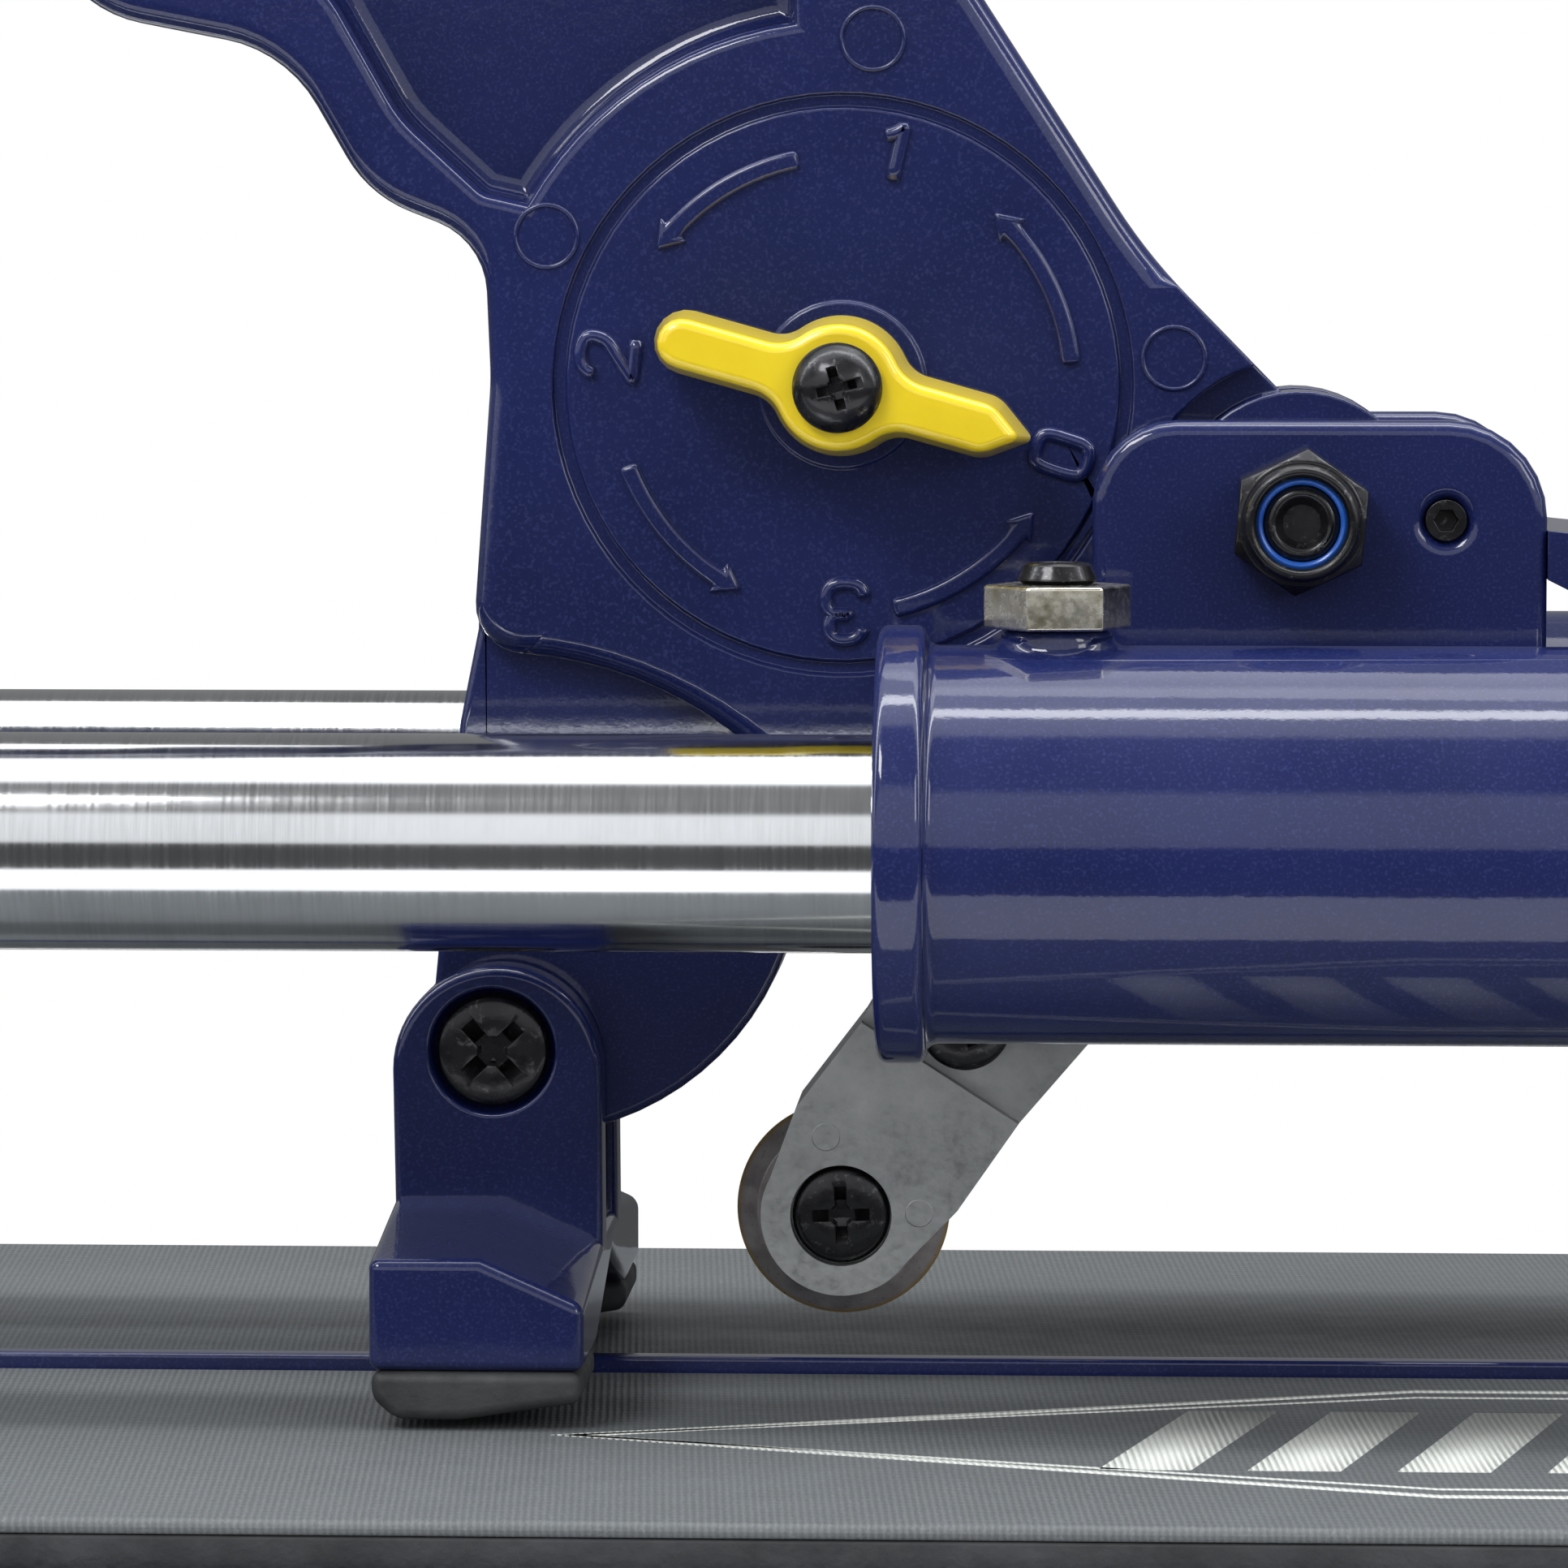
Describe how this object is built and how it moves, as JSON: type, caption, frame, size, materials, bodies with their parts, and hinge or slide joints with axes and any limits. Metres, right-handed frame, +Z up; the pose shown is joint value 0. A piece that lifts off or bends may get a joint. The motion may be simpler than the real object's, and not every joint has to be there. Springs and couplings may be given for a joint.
{
  "type": "tile cutter",
  "caption": "Rail-guided manual tile cutter: lever handle on a sliding carriage with a cam-set scoring wheel and a hinged breaking foot over padded base.",
  "frame": {"origin": "bottom centre of the base, on the plane the rubber feet stand on", "axes": "+X along the rails towards the fence, +Y to the rear, +Z up; operator stands at -X"},
  "size_m": [0.76, 0.192, 0.2706],
  "materials": {
    "blue_enamel": "gloss, slight orange peel",
    "chrome_rail": "polished",
    "bright_steel": "zinc plated",
    "black_oxide": "oiled black oxide",
    "zinc_yellow": "yellow passivated zinc",
    "cast_zinc": "as-cast, lightly brushed",
    "carbide": "ground",
    "yellow_plastic": "gloss",
    "blue_nylon": "satin",
    "white_nylon": "satin",
    "black_plastic": "fine texture",
    "pad_rubber": "fine ribbed",
    "pad_foam": "cellular",
    "black_rubber": "matte",
    "bronze": "sintered",
    "fence_aluminium": "anodised"
  },
  "bodies": {
    "base": {"base_pan": "blue_enamel", "end_cap_left": "black_plastic", "end_cap_right": "black_plastic", "rubber_feet": "black_rubber", "feet_screws": "bright_steel", "breaking_ridge": "blue_enamel", "pad_front_cover": "pad_rubber", "pad_front_foam": "pad_foam", "pad_rear_cover": "pad_rubber", "pad_rear_foam": "pad_foam", "bracket_left": "blue_enamel", "bracket_right": "blue_enamel", "bracket_bolts": "bright_steel", "rail_front": "chrome_rail", "rail_rear": "chrome_rail", "rail_bolts": "bright_steel", "fence_bar": "fence_aluminium", "fence_screws": "black_oxide"},
    "carriage": {"sleeve_front": "blue_enamel", "sleeve_rear": "blue_enamel", "slide_bushes": "white_nylon", "adjuster_screws": "black_oxide", "adjuster_nuts": "zinc_yellow", "plate_front": "blue_enamel", "plate_rear": "blue_enamel", "carriage_bridge": "blue_enamel", "stop_screws": "black_oxide", "pivot_bolt": "black_oxide", "lock_nut": "black_oxide", "lock_nut_ring": "blue_nylon", "thrust_washers": "bright_steel"},
    "handle": {"handle_casting": "blue_enamel", "pivot_bush": "bright_steel", "detent_plunger": "bright_steel"},
    "dial": {"dial_knob": "yellow_plastic", "knob_screw": "black_oxide", "dial_shaft": "bright_steel", "depth_cam": "bright_steel", "shaft_clip": "black_oxide"},
    "arm": {"scoring_arm": "bright_steel", "arm_bush": "bronze", "wheel_fork": "cast_zinc", "fork_screw": "black_oxide", "axle_screw": "black_oxide"},
    "wheel": {"scoring_wheel": "carbide"},
    "foot": {"breaking_foot": "blue_enamel", "foot_sole_front": "black_rubber", "foot_sole_rear": "black_rubber", "foot_pin_screw": "black_oxide"},
    "guide": {"guide_head": "fence_aluminium"},
    "guide_clamp": {"guide_screw": "black_oxide", "guide_knob": "black_plastic"}
  },
  "joints": [
    {"name": "carriage_slide", "type": "slide", "parent": "base", "child": "carriage", "axis": [1, 0, 0], "range_m": [-0.225, 0.285]},
    {"name": "handle_lift", "type": "hinge", "parent": "carriage", "child": "handle", "pos_m": [0, 0, 0.1346], "axis": [0, 1, 0], "range_deg": [0, 14]},
    {"name": "dial_turn", "type": "hinge", "parent": "handle", "child": "dial", "pos_m": [-0.0469, 0, 0.1481], "axis": [0, -1, 0], "range_deg": [0, 270]},
    {"name": "arm_set", "type": "hinge", "parent": "handle", "child": "arm", "pos_m": [0, 0, 0.1346], "axis": [0, -1, 0], "range_deg": [0, 5.4]},
    {"name": "wheel_spin", "type": "hinge", "parent": "arm", "child": "wheel", "pos_m": [-0.04718, 0, 0.06139], "axis": [0, 1, 0], "continuous": true},
    {"name": "foot_swing", "type": "hinge", "parent": "handle", "child": "foot", "pos_m": [-0.0831, 0, 0.0792], "axis": [0, 1, 0], "range_deg": [-24, 10]},
    {"name": "guide_slide", "type": "slide", "parent": "base", "child": "guide", "axis": [0, 1, 0], "range_m": [-0.01, 0.02]},
    {"name": "guide_clamp_turn", "type": "hinge", "parent": "guide", "child": "guide_clamp", "pos_m": [0.278, -0.07, 0.052], "axis": [1, 0, 0], "range_deg": [-180, 180]}
  ],
  "couplings": [
    {"joint": "arm_set", "follows": "dial_turn", "ratio": 0.02}
  ]
}
